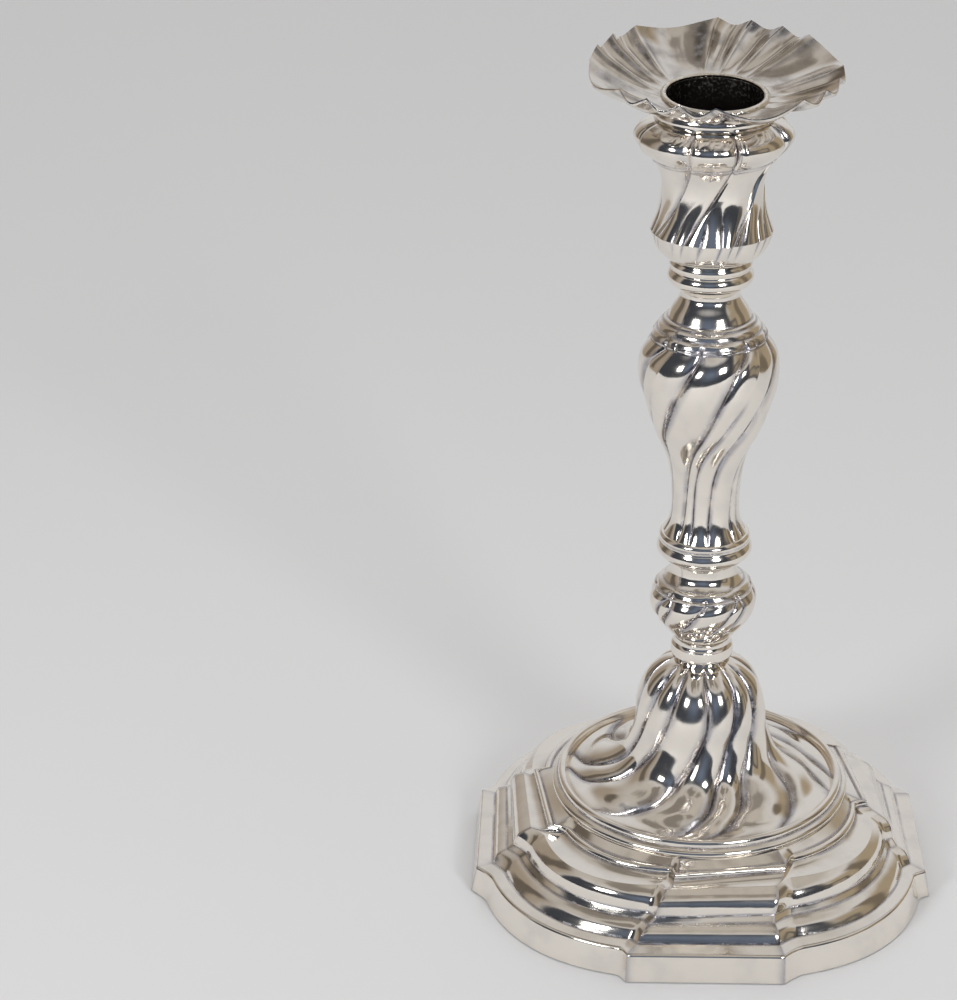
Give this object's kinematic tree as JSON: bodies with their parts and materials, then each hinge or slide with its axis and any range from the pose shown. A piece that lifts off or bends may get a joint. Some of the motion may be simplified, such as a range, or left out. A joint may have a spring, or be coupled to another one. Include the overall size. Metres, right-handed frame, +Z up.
{
  "type": "candlestick",
  "caption": "Silver candlestick with a swirl-fluted stem, scalloped loose nozzle and stepped foot with bowed sides, baize under a wooden base board.",
  "frame": {"origin": "on the ground under the candlestick's axis, at the bottom of the foot band", "axes": "+Z up along the stem, -Y towards the front flat of the foot, +X to the right"},
  "size_m": [0.1156, 0.1156, 0.21],
  "materials": {
    "silver": "polished silver, slightly warm, with worn and tarnished crevices",
    "sooted_silver": "dull, darkened by soot and tarnish",
    "wood": "bare turned board, dusty edge",
    "baize": "worn olive-green twill baize, stained and chalky in places"
  },
  "bodies": {
    "stick": {"socket_mouth_ring": "silver", "socket_half_right": "silver", "socket_half_left": "silver", "socket_floor": "sooted_silver", "socket_foot_ring": "silver", "stem_half_right": "silver", "stem_half_left": "silver", "stem_foot_ring": "silver", "knop_half_right": "silver", "knop_half_left": "silver", "knop_foot_ring": "silver", "base_dome": "silver", "bead_ring": "silver", "foot_moulding": "silver", "foot_band": "silver", "base_board": "wood", "baize_pad": "baize"},
    "nozzle": {"drip_pan": "silver", "nozzle_sleeve": "sooted_silver"}
  },
  "joints": [
    {"name": "nozzle_lift", "type": "slide", "parent": "stick", "child": "nozzle", "axis": [0, 0, 1], "range_m": [0, 0.02]}
  ]
}
